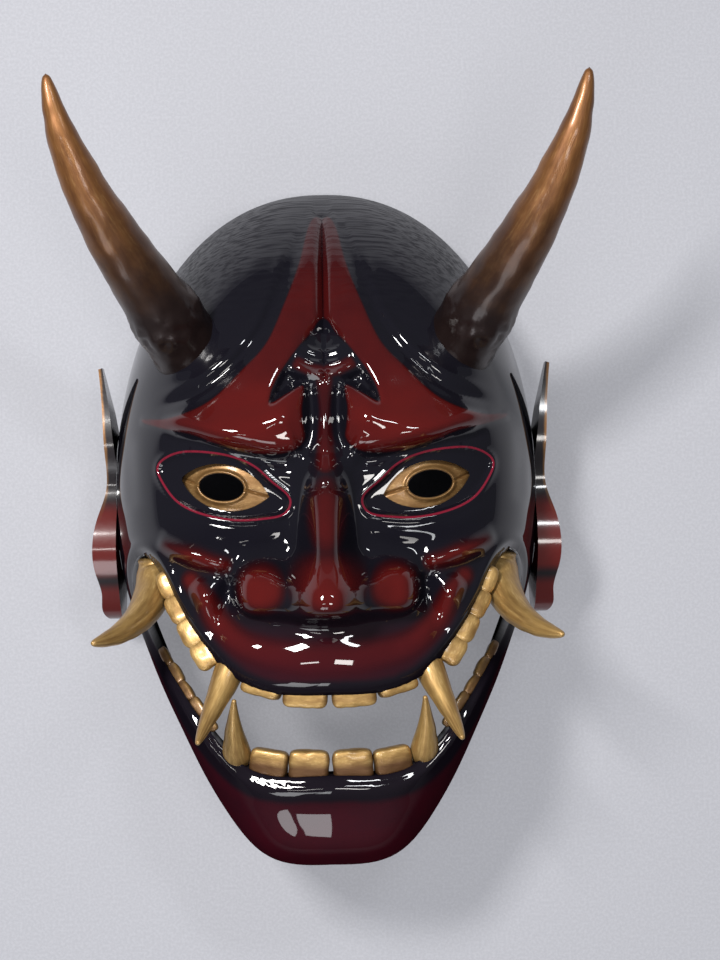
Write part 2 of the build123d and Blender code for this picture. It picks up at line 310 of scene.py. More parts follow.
mouthHalf = [(0, -66.5), (26, -64.2), (43.5, -51), (55, -35), (61.5, -23), (66.5, -19.5), (71, -24),
             (72, -32), (68, -45), (53, -66.5), (40.5, -83), (28, -94), (0, -96)]
mouthRing = smoothRing(mouthHalf + [(-x, y) for x, y in reversed(mouthHalf[1:-1])], 420)

eyeLayout = {"middle": (35.4, 4.2), "length": 32.0, "height": 16.0, "slant": 12.5}
lidPoints = [(59.6, 11.9), (55.6, 15.4), (50, 16.9), (43.5, 16.8), (31.3, 14.5), (23.3, 10.3), (18.0, 5.3),
             (12.4, -1.3), (13.9, -4.6), (20, -6.6), (27, -7.2), (42, -5.2), (52, -0.6), (57.9, 6.6)]
lidRing = smoothRing(lidPoints, 160)

# outline of the red forehead and brow, from the crown down its outer edge and back along the lower edge
browPoints = [(0, 106), (2.6, 106.4), (5.4, 100.5), (8.6, 85), (14, 68.7), (20.1, 54.5), (28.5, 45.1),
              (37.8, 36), (46.5, 31.1), (56, 28.7), (65.5, 29.2), (65.5, 27.9), (57, 25.2), (46.4, 22.8),
              (38.7, 19.8), (27.2, 16.4), (20, 15.4), (13.6, 15.8), (9.4, 17.6), (7, 21), (7.4, 25),
              (7.9, 31), (7.2, 36), (7.6, 39.2), (12, 36.8), (18.6, 33), (18.7, 36), (17.2, 40.2),
              (13.8, 46), (8.6, 53.4), (4.3, 58.4), (1.8, 62.6), (0, 64)]
browRing = smoothLine(browPoints, 300)

# the pit under the hook of each brow
pitPoints = [(18.5, 33.6), (12.6, 37.2), (8, 39.3), (5.8, 40.6), (8.6, 42.8), (13.2, 44.8), (16.4, 40)]
pitRing = smoothRing(pitPoints, 90)


def almondRing(grow, count=96):
    # eye outline: two arcs between the corners
    half = eyeLayout["length"] / 2 + 1.6 * grow
    rise = eyeLayout["height"] / 2 + grow
    radius = (half ** 2 + rise ** 2) / (2 * rise)
    reach = math.asin(half / radius)
    turns = np.linspace(-reach, reach, count // 2 + 1)[:-1]
    upper = np.stack([radius * np.sin(turns), radius * np.cos(turns) - radius + rise], 1)
    ring = np.vstack([upper, -upper])[::-1]
    slant = math.radians(eyeLayout["slant"])
    turned = np.array([[math.cos(slant), math.sin(slant)], [-math.sin(slant), math.cos(slant)]])
    return ring @ turned + np.array(eyeLayout["middle"])


def rimRadius(angle):
    # how far the rim is from the middle; angle in degrees from the crown
    turn = np.radians(angle)
    upper = angle < 90
    reach = np.where(upper, face["crownReach"], face["chinReach"])
    power = np.where(upper, face["crownPower"], face["chinPower"])
    across = (np.abs(np.sin(turn)) / face["halfWidth"]) ** power
    oval = (across + (np.abs(np.cos(turn)) / reach) ** power) ** (-1 / power)
    pinch = face["jawPinch"] * np.exp(-((angle - 132) / 17.5) ** 2)
    corners = face["chinCorners"] * np.exp(-((angle - 170) / 8) ** 2)
    return oval * (1 - pinch + corners) * jawWaist(angle)


def jawWaist(angle):
    # draws the foot of the jaw wall in, below the corners of the mouth
    return 1 - face["waist"] * np.exp(-((angle - 149) / 12.5) ** 2)


def domeShare(x, y, inset):
    # 0 at the middle, 1 at the rim; the waist only squeezes the outermost part
    angle = np.degrees(np.arctan2(np.abs(x), y))
    rim = rimRadius(angle)
    share = np.hypot(x, y) / (rim - inset)
    plain = np.hypot(x, y) / (rim / jawWaist(angle) - inset)
    return angle, plain + (share - plain) * ease(share, 0.84, 1.0)


def domeLevel(angle, share):
    past = ((angle - 90) / 90) ** 2
    turned = np.sin(np.radians(angle))
    power = np.where(angle < 90, 2 + 2 * turned, 4 + 4 * past)
    root = np.where(angle < 90, 0.6 - 0.1 * turned, 0.5 - 0.25 * past)
    return (1 - np.clip(share, 0, 1) ** power) ** root


def lump(x, y, middle, spread, turn=0.0, flat=1.0):
    c, s = math.cos(math.radians(turn)), math.sin(math.radians(turn))
    dx, dy = np.abs(x) - middle[0], y - middle[1]
    return np.exp(-(((dx * c + dy * s) / spread[0]) ** 2 + ((dy * c - dx * s) / spread[1]) ** 2) ** flat)


def stroke(x, y, points, rise, width, power=2.0, fadeEnds=True):
    # ridge, or groove where rise is negative, along a curve; rise and width may be lists along it
    gap, share, _, _ = nearestOn(np.abs(x), y, smoothLine(points, 8 * len(points)))
    high = np.interp(share, np.linspace(0, 1, np.size(rise)), np.atleast_1d(rise))
    wide = np.interp(share, np.linspace(0, 1, np.size(width)), np.atleast_1d(width))
    ends = ease(share, -0.01, 0.12) * (1 - ease(share, 0.88, 1.01)) if fadeEnds else 1.0
    return high * ends * np.exp(-(gap / wide) ** power)


nose = {
    "root": 15.5,                   # height where the ridge starts
    "length": 45.5,
    "rise": 27.5,
    "width": 7.0,
    "flare": 6.0,                   # how much wider the ridge gets over the tip
    "foot": -40.2,
    "wing": (22.3, -31.0),
    "wingSize": (9.4, 8.9),
    "wingRise": 12.6,
}

# lumps are rise, middle, spread, turn and flatness; hollows have a rise below 0
broadLumps = [
    (4.5, (36, 4.2), (18, 9.5), 12.5),                  # eyeball
    (4.6, (24, 25), (16, 6.5), -6),                     # brow
    (3.4, (47, 28), (14, 5), 4),                        # outer half of the brow
    (2.6, (14, 30), (5.5, 7), 12),                      # inner end of the brow
    (3.5, (50, -17), (17, 5), 8),                       # cheek
    (-3.0, (34.8, -34), (3.4, 11), 14),                 # fold beside the nose
    (2.5, (43, -34), (4.5, 11), 28),                    # roll outside the fold
    (1.3, (0, -101), (34, 6)),                          # lower lip
    (5.2, (0, -47), (30, 12)),                          # lip under the nose
    (4.0, (0, -128), (36, 13), 0.0, 1.3),               # chin, broad and flat across
    (2.0, (48.6, 56), (17, 17)),                        # horn seat
]

# strokes are points, rise and width along them, and, where they aren't the usual, power and fading ends
broadStrokes = [
    # the brow's lower edge, and the groove under it
    ([(9, 20.5), (14, 19), (22, 19.2), (32, 21.6), (46, 25.6), (58, 28)], 2.2, 3.4),
    ([(9, 12), (20, 13.2), (32, 16), (46, 20), (58, 23.4)], -2.0, 2.6),
    # the ridge of the cheek, and the groove under it
    ([(60, -13.8), (52, -17), (43, -20.4), (33, -23.2)], [1.6, 2.4, 2.2, 1.4], 2.8),
    ([(56, -20.5), (48, -24.2), (40, -25.8), (33, -25.4)], [-0.8, -1.8, -1.5, -0.8], 1.8),
    # the roll from the nostril wing to the lip, and the fold inside it
    ([(47, -28), (43, -33), (39, -41), (31, -48.5), (22, -51.5)], [1.9, 2.1, 1.2, 0.3], 3.0),
    ([(33.8, -26), (34.2, -33), (30.5, -41.6), (20, -44.6), (0, -43.6)],
     [-1.6, -1.6, -0.8, 0.0], [2.2, 2.4, 3.2]),
]

fineLumps = [
    (-2.4, (0, 57.4), (4.8, 4.4)),                      # hollow over the wrinkles
    (1.5, (0, 7.6), (4.4, 4.6)),                        # knot at the root of the nose
    (1.2, (0, -57), (28, 9)),                           # lip under the nose
]

fineStrokes = [
    # grooves beside the frown, the frown, three bars over it, and a crease across the root of the nose
    ([(5.2, 40.5), (4.8, 34), (4.7, 28), (5.2, 21.5), (8.2, 14.5)],
     [-2.4, -2.9, -2.9, -1.6], [1.9, 1.9, 2.0, 2.6]),
    ([(0, 42), (0, 34), (0, 22), (0, 11)], [1.6, 2.2, 2.2, 1.4], [3.0, 1.9, 1.6, 2.8], 2.0, False),
    ([(0, 42.6), (5, 43.8), (10.8, 47.2)], [2.0, 2.4, 1.2], 1.6),
    ([(0, 47.4), (5, 48.2), (9.6, 51.2)], [1.3, 0.9], 0.9),
    ([(0, 50.6), (4, 51.4), (7.6, 54)], [1.2, 0.7], 0.9),
    ([(0, 3.0), (3.4, 2.8), (6.2, 1.8)], -1.3, 0.9, 2.0, False),
    # ridges and groove down the middle of the forehead, and the step along its outer edge
    ([(3.6, 62), (3.4, 76), (3.1, 92), (2.6, 105)], [0.6, 0.9, 0.4], 1.5),
    ([(0, 60), (0, 76), (0, 92), (0, 106)], [-1.6, -2.4, -1.4], 1.35, 4.0, False),
    ([(4, 120), (9.6, 96.8), (18.6, 67), (25.8, 54), (35, 44), (46, 37), (62, 33)],
     [-0.4, -1.2, -1.5, -0.8], 1.5),
    ([(6.5, 112), (12.6, 92), (21.5, 67), (29, 55), (38, 46.6), (49, 40), (62, 36.6)],
     [0.3, 0.8, 1.0, 0.5], 1.8),
    # folds over and under the eye
    ([(17, 9.4), (26, 14.6), (36, 18.0), (48, 19.8)], [0.6, 0.9, 0.4], 1.5),
    ([(15, -9.5), (24, -12.6), (36, -12.4), (48, -8.4), (58, -1.5)], [0.3, 0.5, 0.4, 0.2], 2.6),
    ([(13, -12.5), (24, -16.6), (36, -17.2)], [-0.4, -0.4, -0.2], 2.2),
    # two ridges that run on over the crown, and the flattened temple
    ([(4.6, 105), (5.6, 114), (6.4, 121)], [0.8, 1.0], 1.2, 2.0, False),
    ([(2.2, 106), (2.6, 114), (3.0, 121)], [-0.8, -1.0], 1.2, 2.0, False),
    ([(73, 24), (72, 10), (71, -4)], [-0.9, -1.3, -0.8], 4.0),
]

# room inside for the nose, and below 0 where the hollow keeps clear of what is carved in
hollowLumps = [
    (12, (0, -27), (9, 9)),                             # nose
    (-3.4, (12, 40), (9, 8)),                           # pits
    (-2.6, (4, 30), (7, 16)),                           # grooves beside the frown
    (-2.2, (11, 13), (13, 5)),                          # inner corners of the eyes
    (-4.2, (33, -37), (7, 11), 18),                     # folds beside the nose
    (-2.0, (14, -45), (16, 6)),                         # fold over the lip
]


def carve(x, y, lumps, strokes=()):
    total = sum(rise * lump(x, y, *form) for rise, *form in lumps)
    return total + sum(stroke(x, y, *form) for form in strokes)


def eyeHollow(x, y):
    return -6.5 * lump(x, y, (36, 4.2), (26, 11.5), 12.5)


def noseForm(x, y):
    wide = np.abs(x)
    climb = np.clip((nose["root"] - y) / nose["length"], 0, 1)
    width = nose["width"] + nose["flare"] * ease(y, -16, -31) + 0.8 * climb
    under = 1 / (1 + np.exp((nose["foot"] - y) / 1.4))
    ridge = nose["rise"] * climb ** 0.85 * np.exp(-(wide / width) ** 2.8)
    bulb = 3.6 * lump(x, y, (0, -31), (11, 8), flat=1.2)
    across = (np.abs(wide - nose["wing"][0]) / nose["wingSize"][0]) ** 2.7
    along = (np.abs(y - nose["wing"][1]) / nose["wingSize"][1]) ** 2.7
    return (ridge + bulb) * under + nose["wingRise"] * np.exp(-(across + along) ** 1.35)


def broadForms(x, y):
    chin = 0.0062 * x ** 2 * np.exp(-(x / 26) ** 4 - ((y + 120) / 15) ** 4)     # keeps the chin flat across
    return noseForm(x, y) + eyeHollow(x, y) + carve(x, y, broadLumps, broadStrokes) + chin


def fineForms(x, y):
    wide = np.abs(x)
    total = carve(x, y, fineLumps, fineStrokes)
    total += 1.3 * ease(-gapTo(wide, y, browRing), -1.1, 1.3)       # raised forehead and brow
    total -= 3.4 * ease(-gapTo(wide, y, pitRing), -0.7, 2.4)        # pit under the hook
    # lids: a rolled edge at the outline, and a band that sinks to the plate
    lid = gapTo(wide, y, lidRing)
    total += 0.75 * np.exp(-((lid - 0.5) / 1.0) ** 2) - 1.5 * ease(-lid, -0.4, 2.2)
    # groove round the nostril wings
    wing = np.hypot((wide - 22.5) / 9.6, (y + 31) / 9.2)
    total -= 1.5 * np.exp(-((wing - 1.12) / 0.13) ** 2) * ease(wide, 19, 24)
    # rolled edge all round the mouth, fuller at its corners
    lip = gapTo(x, y, mouthRing)
    outer = ease(wide, 24, 44)
    total += (0.1 + 1.5 * outer) * np.exp(-((lip - 3.6) / 1.7) ** 2)
    total -= 2.3 * np.exp(-(np.maximum(lip, 0) / 1.9) ** 2)
    # lower lip: a low roll, and the gum line before it
    lower = ease(-y, 84, 93) * (1 - outer)
    return total + lower * (0.7 * np.exp(-((lip - 6.0) / 3.4) ** 2) - 0.9 * np.exp(-((lip - 2.2) / 0.9) ** 2))


def raised(x, y, inset, carving):
    # a carving on the dome, which it leaves towards the rim
    level = domeLevel(*domeShare(x, y, inset))
    muzzle = face["muzzle"] * np.exp(-((y + 66) / 24) ** 2 - (x / 45) ** 2)
    return (face["depth"] + muzzle - inset) * level + ease(level, 0, 0.45) * carving


def heightOf(x, y, fine=True):
    return raised(x, y, 0.0, broadForms(x, y) + (fineForms(x, y) if fine else 0))


def hollowHeight(x, y):
    aroundMouth = 5.5 * np.exp(-(gapTo(x, y, mouthRing) / 9) ** 2)
    return raised(x, y, face["wall"], eyeHollow(x, y) + carve(x, y, hollowLumps) - aroundMouth)


def skin(x, y):
    # height of the face at one place, without its fine forms
    return float(heightOf(np.array([float(x)]), np.array([float(y)]), fine=False)[0])


# ---- mesh helpers

def makePiece(name, bm, nodes, paints, sharpOver=None):
    bmesh.ops.scale(bm, verts=bm.verts[:], vec=(millimetre, millimetre, millimetre))
    for patch in bm.faces:
        patch.smooth = True
    if sharpOver:
        limit = math.radians(sharpOver)
        for edge in bm.edges:
            if edge.is_manifold and edge.calc_face_angle() > limit:
                edge.smooth = False
    mesh = bpy.data.meshes.new(name)
    bm.to_mesh(mesh)
    bm.free()
    made = bpy.data.objects.new(name, mesh)
    bpy.context.scene.collection.objects.link(made)
    for paint in paints:
        mesh.materials.append(paint)
    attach(made, "root")
    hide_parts(*nodes)
    return made


def growRing(bm, edges, ring):
    # extrudes a loop of edges; gives the new edges, and the new vertices in the order of the old
    grown = bmesh.ops.extrude_edge_only(bm, edges=edges)["geom"]
    fresh = {item for item in grown if isinstance(item, bmesh.types.BMVert)}
    newEdges = [item for item in grown if isinstance(item, bmesh.types.BMEdge)
                and all(v in fresh for v in item.verts)]
    newRing = [next(o for o in (e.other_vert(v) for e in v.link_edges) if o in fresh) for v in ring]
    return newEdges, newRing


def setAttribute(made, name, values):
    attribute = made.data.attributes.new(name, "FLOAT", "POINT")
    attribute.data.foreach_set("value", np.asarray(values, np.float32))


def cutOutline(bm, ring):
    # moves the nearest vertices onto the outline, then takes away the faces inside it
    bm.verts.ensure_lookup_table()
    bm.verts.index_update()
    low, high = ring.min(0) - 6, ring.max(0) + 6
    spots = np.array([v.co[:2] for v in bm.verts])
    near = np.all((spots > low) & (spots < high), axis=1)
    gap = np.full(len(spots), 1e3)
    gap[near] = gapTo(spots[near, 0], spots[near, 1], ring)
    snapped = set()
    for edge in bm.edges:
        a, b = edge.verts[0].index, edge.verts[1].index
        if gap[a] * gap[b] < 0:
            snapped.add(a if abs(gap[a]) < abs(gap[b]) else b)
    order = np.array(sorted(snapped))
    onRing = nearestOn(spots[order, 0], spots[order, 1], ring, closed=True)[2]
    for k, spot in zip(order, onRing):
        bm.verts[k].co[0], bm.verts[k].co[1] = spot
        gap[k] = 0
    split, inside = [], []
    for patch in bm.faces:
        gaps = [gap[v.index] for v in patch.verts]
        if min(gaps) < 0 < max(gaps):
            pair = [v for v in patch.verts if v.index in snapped]
            if len(pair) == 2:
                split.append((patch, pair))
    for patch, pair in split:
        bmesh.utils.face_split(patch, *pair)
    for patch in bm.faces:
        gaps = [gap[v.index] for v in patch.verts]
        x, y, _ = patch.calc_center_median()
        if min(gaps) < 0 or (max(gaps) == 0 and gapTo(np.array([x]), np.array([y]), ring)[0] < 0):
            inside.append(patch)
    bmesh.ops.delete(bm, geom=inside, context="FACES")


# ---- paints

lacquerLook = {
    "black": (0.006, 0.0055, 0.009),
    "red": (0.082, 0.0058, 0.005),
    "deepRed": (0.026, 0.003, 0.004),
    "plum": (0.036, 0.0038, 0.0078),
    "line": (0.18, 0.010, 0.025),
    "lineWidth": 0.34,
    "inside": (0.012, 0.010, 0.010),
}

giltLook = {
    "gold": (0.47, 0.295, 0.10),
    "bright": (0.64, 0.45, 0.19),
    "dark": (0.16, 0.075, 0.02),
    "shade": (0.085, 0.034, 0.012),
}


# where red is brushed over the black
redStrokes = [
    ([(0, 43), (0, 30), (0, 12)], [0.55, 0.35, 0.6], [3.0, 2.0, 3.4], 4, False),
    ([(0, 44), (5, 45), (11, 48)], 0.6, 2.2, 4),
    ([(60, -14.5), (50, -18.5), (41, -21.5), (32, -23.5)], [0.25, 0.95, 0.7], [2.6, 3.2, 2.4]),
    ([(47.6, -28), (42.5, -34), (38, -42), (28, -50), (12, -53.5), (0, -54)],
     [0.8, 0.8, 0.62], [3.2, 4.4, 6.0], 3.0, False),
]
redLumps = [
    (0.62, (0, -6), (6.4, 13), 0.0, 2.2),               # ridge of the nose
    (0.82, (0, -28), (12, 10), 0.0, 2.0),               # its tip
    (0.9, (22.8, -30), (8.2, 8.0), 0.0, 2.4),           # nostril wing
]


def redWeight(x, y):
    brushed = [stroke(x, y, *form) for form in redStrokes]
    brushed += [rise * lump(x, y, *form) for rise, *form in redLumps]
    return np.clip(np.maximum.reduce(brushed), 0, 1)


def jawWeight(x, y):
    # the plum red of the jaw and chin, 0 to 1
    sides = ease(-y, 34, 62) * (0.62 + 0.2 * ease(-y, 80, 120))
    return np.clip(sides + 0.30 * lump(x, y, (8, -126), (26, 12)), 0, 1)


def lacquer():
    look = lacquerLook
    paint = Paint("shellLacquer")
    brow, lid, lip = (paint.attribute(name) for name in ("brow", "lid", "lip"))
    red, jaw, inside = (paint.attribute(name) for name in ("red", "jaw", "inside"))
    mottle = paint.grain(60, 4, 0.6)
    fine = paint.grain(420, 3, 0.55)
    tone = paint.attribute("tone") * paint.step(brow, -0.5, 0.6)
    red = paint.sum("MAXIMUM", red, tone)
    weight = paint.sum("MULTIPLY", red + (mottle - 0.5) * 0.5 * red, 1.0, clamp=True)
    colour = paint.blend(paint.step(weight, 0.0, 0.42), look["black"], look["deepRed"])
    colour = paint.blend(paint.step(weight, 0.3, 0.95), colour, look["red"])
    colour = paint.blend(jaw * (0.55 + mottle * 0.9), colour, look["plum"])
    line = 1 - paint.step(abs(lid), look["lineWidth"] * 0.6, look["lineWidth"] * 1.5)
    colour = paint.blend(line, colour, look["line"])
    border = 1 - paint.step(lip + (mottle - 0.5) * 1.6, 3.4, 6.4)
    colour = paint.blend(border * 0.92, colour, look["black"])
    colour = paint.blend(inside, colour, look["inside"])
    # brushed layers show on the crown, down by the rim and under the chin
    y, z = paint.axis(1), paint.axis(2)
    layers = paint.grain(620, 3, 0.6, (0.05, 1.0, 1.6))
    crown = paint.step(y, 0.045, 0.09)
    nearRim = (1 - paint.step(z, 0.03, 0.06)) * 0.8
    underChin = (1 - paint.step(y, -0.115, -0.095)) * 0.5
    surface = layers * (crown + nearRim + 0.1 + underChin) * 0.9 + fine * 0.3 + mottle * 0.4
    dulled = (1 - paint.step(layers, 0.35, 0.6)) * paint.step(y, 0.05, 0.09) * 0.6
    return paint.finish({
        "Base Color": colour,
        "Roughness": 0.45 + fine * 0.12 + inside * 0.2,
        "Specular IOR Level": 0.0,
        "Coat Weight": paint.attribute("coat") * (1 - dulled),
        "Coat Roughness": 0.035,
        "Coat IOR": 1.52,
        "Normal": paint.bump(surface, 0.00022, 0.55),
    })


# ---- shell

def shellGrid():
    # a dome of rays and rings, its rings spread evenly over the carved surface along each ray
    rays, rings = face["rays"], face["rings"]
    bm = bmesh.new()
    bmesh.ops.create_uvsphere(bm, u_segments=rays, v_segments=2 * rings, radius=1.0)
    everything = bm.verts[:] + bm.edges[:] + bm.faces[:]
    bmesh.ops.bisect_plane(bm, geom=everything, dist=1e-5, plane_co=(0, 0, 0), plane_no=(0, 0, 1),
                           clear_inner=True)
    spots = np.array([v.co for v in bm.verts])
    ring = np.rint(np.arccos(np.clip(spots[:, 2], -1, 1)) / (math.pi / 2) * rings).astype(int)
    angle = np.degrees(np.arctan2(spots[:, 0], spots[:, 1]))
    ray = np.rint(angle / 360 * rays).astype(int) % rays
    turns = np.degrees(np.arange(rays) * 2 * math.pi / rays)
    turns = np.where(turns > 180, turns - 360, turns)
    samples = np.sin(np.linspace(0, math.pi / 2, 420))
    reach = rimRadius(np.abs(turns))
    x = samples[:, None] * reach * np.sin(np.radians(turns))
    y = samples[:, None] * reach * np.cos(np.radians(turns))
    z = heightOf(x, y, fine=False)
    z[-1] = 0
    step = np.sqrt(np.diff(x, axis=0) ** 2 + np.diff(y, axis=0) ** 2 + np.diff(z, axis=0) ** 2)
    low = (z[1:] + z[:-1]) / 2
    step *= 0.42 + 0.58 * ease(low, 30, 62)                 # wider rings down the plain walls
    length = np.vstack([np.zeros(rays), np.cumsum(step, axis=0)])
    share = np.zeros((rings + 1, rays))
    for k in range(rays):
        share[:, k] = np.interp(np.linspace(0, length[-1, k], rings + 1), length[:, k], samples)
    radius = share[ring, ray] * reach[ray]
    turn = np.radians(turns[ray])
    for vert, across, along in zip(bm.verts, radius * np.sin(turn), radius * np.cos(turn)):
        vert.co = (across, along, 0)
    return bm


def buildShell():
    bm = shellGrid()
    cutOutline(bm, mouthRing)
    for side in (1, -1):
        cutOutline(bm, almondRing(0) * np.array([side, 1]))
    loose = [v for v in bm.verts if not v.link_faces]
    bmesh.ops.delete(bm, geom=loose, context="VERTS")
    bm.verts.ensure_lookup_table()
    origin = bm.verts.layers.int.new("origin")
    for k, vert in enumerate(bm.verts):
        vert[origin] = k
    x, y = np.array([v.co[:2] for v in bm.verts]).T
    angle = np.degrees(np.arctan2(np.abs(x), y))
    rim = rimRadius(angle)
    share = np.hypot(x, y) / rim
    onRim = share > 0.99995
    z = np.where(onRim, 0, heightOf(x, y))
    grown = bmesh.ops.extrude_face_region(bm, geom=bm.faces[:], use_keep_orig=True)["geom"]
    inner = [item for item in grown if isinstance(item, bmesh.types.BMVert)]
    # the hollow: straight under the skin, and drawn in by the wall next to the rim
    drawnIn = 1 - face["wall"] / rim * np.clip((share - 0.93) / 0.07, 0, 1)
    inX, inY = x * drawnIn, y * drawnIn
    inZ = np.where(onRim, 0, hollowHeight(inX, inY))
    inZ = np.maximum(np.minimum(inZ, z - 1.2), 0)       # 1.2 mm or more under the skin, never below the rim
    bm.verts.index_update()
    source = np.array([vert[origin] for vert in bm.verts])
    inside = np.zeros(len(bm.verts), bool)
    inside[[vert.index for vert in inner]] = True
    for vert, k, hidden in zip(bm.verts, source, inside):
        vert.co = (inX[k], inY[k], inZ[k]) if hidden else (x[k], y[k], z[k])
    bmesh.ops.recalc_face_normals(bm, faces=bm.faces[:])
    made = makePiece("maskShell", bm, ["mask_shell"], [lacquer()], sharpOver=52)
    wide = np.abs(x)
    fields = {
        "brow": -gapTo(wide, y, browRing),
        "lid": gapTo(wide, y, lidRing),
        "lip": gapTo(x, y, mouthRing) - 4.2 * ease(-y, 58, 84),     # wider border on the lower lip
        "red": redWeight(x, y),
        "jaw": jawWeight(x, y),
        "tone": 0.58 + 0.34 * lump(x, y, (24, 29), (22, 12)) - 0.12 * ease(y, 70, 100),
    }
    for name, values in fields.items():
        setAttribute(made, name, values[source])
    setAttribute(made, "inside", inside)
    # the coat thins on steep walls, most of all on the jaw and over the crown
    normals = np.empty(3 * len(source))
    made.data.vertices.foreach_get("normal", normals)
    x, y = x[source], y[source]
    jawPart = ease(-y, 20, 60)
    steep = 1 - ease(normals[2::3], 0.15 + 0.5 * jawPart, 0.66 + 0.32 * jawPart)
    coat = (1 - 0.8 * inside) * (1 - steep * (0.12 + 0.88 * jawPart + 0.5 * ease(y, 50, 100)))
    setAttribute(made, "coat", coat * (1 - 0.8 * lump(x, y, (33, -13), (20, 6))))
    return made


shell = buildShell()
print("shell carved", len(shell.data.polygons))


# ---- gilt

# how quickly the brush marks change, along and round a horn or fang, and across a plate or tooth
brushMarks = {"sweepAlong": 0.14, "sweepRound": 6, "plateAcross": 0.3, "toothAcross": 0.35}


def gilt(name, look, darken=None, polish=0.34):
    # gold brushed over brown, with marks that follow the brush attribute; darken gives a term from 0 to 1
    paint = Paint(name)
    brush = paint.attribute("brush", "Vector")
    fine = paint.grain(0.42, 4, 0.62, where=brush)
    broad = paint.grain(55, 3, 0.55)
    speck = paint.grain(2.2, 2, 0.6, where=brush)
    colour = paint.blend(paint.step(fine * 0.7 + broad * 0.3, 0.34, 0.66), look["dark"], look["gold"])
    colour = paint.blend(0.35, colour, look["gold"])
    colour = paint.blend(paint.step(fine * 0.5 + speck * 0.5, 0.52, 0.72) * 0.7, colour, look["bright"])
    if darken:
        colour = paint.blend(darken(paint), colour, look["shade"])
    surface = fine * 0.6 + speck * 0.25 + broad * 0.5
    return paint.finish({
        "Base Color": colour,
        "Metallic": 0.55,
        "Roughness": polish + fine * 0.16,
        "Coat Weight": 0.3,
        "Coat Roughness": 0.16,
        "Normal": paint.bump(surface, 0.0003, 0.6),
    })


# ---- eyes

eyeLook = {
    "sphere": 44.0, "drop": 2.95, "lean": 14.0, "thick": 2.4,
    "pupil": (8.0, 4.8), "pupilShift": 1.2,
    "lap": 2.2,                     # how far the plate runs in under the lids
    "rim": 0.95,                    # height of the raised edge round the pupil
    "crease": 0.9,                  # depth of the cuts from the pupil to the corners
    "corners": [(19.8, 0.7), (51.0, 7.8)],
    "gold": (0.28, 0.155, 0.055), "bright": (0.50, 0.33, 0.14),
    "rings": 26, "count": 120,
}


def eyeDomeHeight(x, y):
    # front of the gilt plate, a sphere that faces a little outward
    radius, lean = eyeLook["sphere"], math.radians(eyeLook["lean"])
    middle = eyeLayout["middle"]
    foot = skin(*middle) - eyeLook["drop"] - math.cos(lean) * radius
    away = (x - (middle[0] - math.sin(lean) * radius)) ** 2 + (y - middle[1]) ** 2
    return foot + np.sqrt(np.maximum(radius ** 2 - away, 1))


def buildEye(side):
    look = eyeLook
    count, rings = look["count"], look["rings"]
    outer = almondRing(look["lap"], count)
    shift = np.array(eyeLayout["middle"])
    half = math.radians(eyeLayout["slant"] / 2)
    turns = np.arctan2(*(outer - shift).T[::-1])
    order = np.argsort(turns)
    wide, high = look["pupil"]
    ellipse = np.stack([wide * np.cos(turns - half) + look["pupilShift"], high * np.sin(turns - half)], 1)
    turned = np.array([[math.cos(half), math.sin(half)], [-math.sin(half), math.cos(half)]])
    inner = ellipse @ turned + shift
    bm = bmesh.new()
    brush = bm.verts.layers.float_vector.new("brush")
    ring = bmesh.ops.create_circle(bm, segments=count, radius=1.0)["verts"]
    ring.sort(key=lambda v: math.atan2(v.co.y, v.co.x))
    pupilEdges = edges = bm.edges[:]
    # down the pupil's wall, over its raised rim and out to the edge under the lids
    profile = [(0.0, -look["thick"]), (0.0, -0.2), (0.0, 0.3)]
    profile += [((k / rings) ** 1.15, None) for k in range(1, rings + 1)]
    profile += [(1.0, -look["thick"])]
    for step, (share, drop) in enumerate(profile):
        if step:
            edges, ring = growRing(bm, edges, ring)
        spots = inner[order] * (1 - share) + outer[order] * share
        z = eyeDomeHeight(spots[:, 0], spots[:, 1])
        if drop is None:
            gap = np.hypot(*(spots - inner[order]).T)
            z = z + look["rim"] * np.exp(-((gap - 0.5) / 0.75) ** 2) + 0.1
            for corner, way in zip(look["corners"], (-1, 1)):
                start = shift + np.array([look["pupilShift"] + way * wide, way * 0.9])
                away = nearestOn(spots[:, 0], spots[:, 1], np.array([start, corner]))[0]
                z = z - look["crease"] * np.exp(-(away / 0.42) ** 2)
        else:
            z = z + drop
        for vert, spot, level in zip(ring, spots, z):
            vert.co = (side * spot[0], spot[1], level)
            vert[brush] = (brushMarks["plateAcross"] * spot[0], spot[1], level)
    bmesh.ops.bridge_loops(bm, edges=pupilEdges + edges)
    bmesh.ops.recalc_face_normals(bm, faces=bm.faces[:])
    name = "left" if side < 0 else "right"
    return makePiece("eyePlate." + name, bm, ["eye_" + name], [eyeGilt], sharpOver=50)


eyeGilt = gilt("eyeGilt", {**giltLook, "gold": eyeLook["gold"], "bright": eyeLook["bright"]})
for side in (1, -1):
    buildEye(side)
print("eyes seated")


# ---- horns, tusks and fangs

hornLook = {
    "base": (48.6, 54.0), "seat": (48.6, 56.0), "under": 8.0, "tip": (87.6, 137.6, 125.7),
    "radius": 13.6, "tipRadius": 1.0, "swell": 0.68, "rounds": 90, "sides": 64,
    "leaves": (14, 24, 30),         # how the curve leaves the foot
    "arrives": (-4.6, -34, -6),     # and where it comes to the tip from
    "gold": (0.25, 0.105, 0.030), "bright": (0.33, 0.18, 0.065),
    "dark": (0.075, 0.024, 0.011), "shade": (0.016, 0.007, 0.006),
    "clears": (0.084, 0.146),       # metres up and out, where the shade at the root gives way
}
